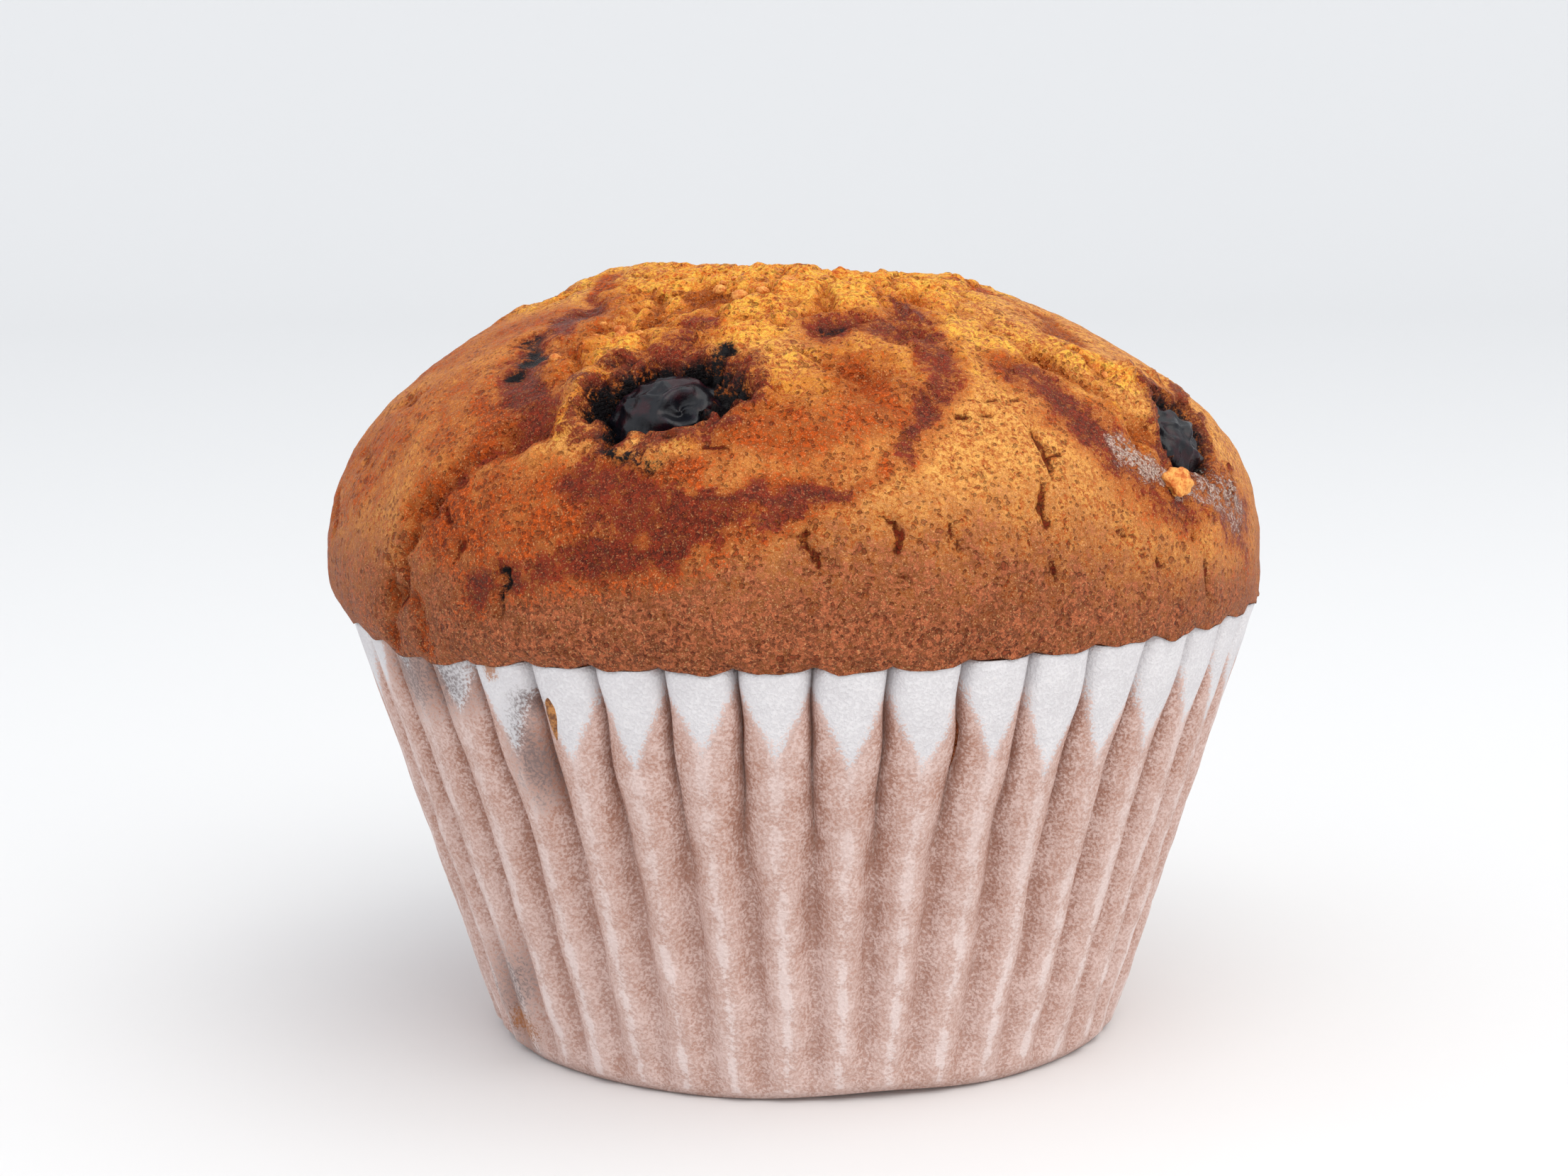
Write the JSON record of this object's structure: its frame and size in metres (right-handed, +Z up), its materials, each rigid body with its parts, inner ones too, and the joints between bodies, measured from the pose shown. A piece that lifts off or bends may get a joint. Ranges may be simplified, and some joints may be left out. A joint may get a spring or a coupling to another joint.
{
  "type": "muffin",
  "caption": "Domed berry muffin with a golden-brown, purple-streaked crown, baked in a pleated white paper case.",
  "frame": {"origin": "centre of the paper case's flat base, at the height of the surface it stands on", "axes": "+Z up, -Y towards the front, +X to the right seen from the front"},
  "size_m": [0.0738, 0.0738, 0.0606],
  "materials": {
    "baking_paper": "matt white baking paper, greased to a translucent pinkish brown below the rim",
    "baked_crust": "golden-brown baked crust, matt with a slight gloss, streaked purple by berry juice",
    "berry_skin": "wrinkled blue-black berry skin, slightly glossy"
  },
  "bodies": {
    "root": {"paper_case": "baking_paper", "cake": "baked_crust", "berry_front": "berry_skin", "berry_right": "berry_skin", "berry_back": "berry_skin"}
  },
  "joints": []
}
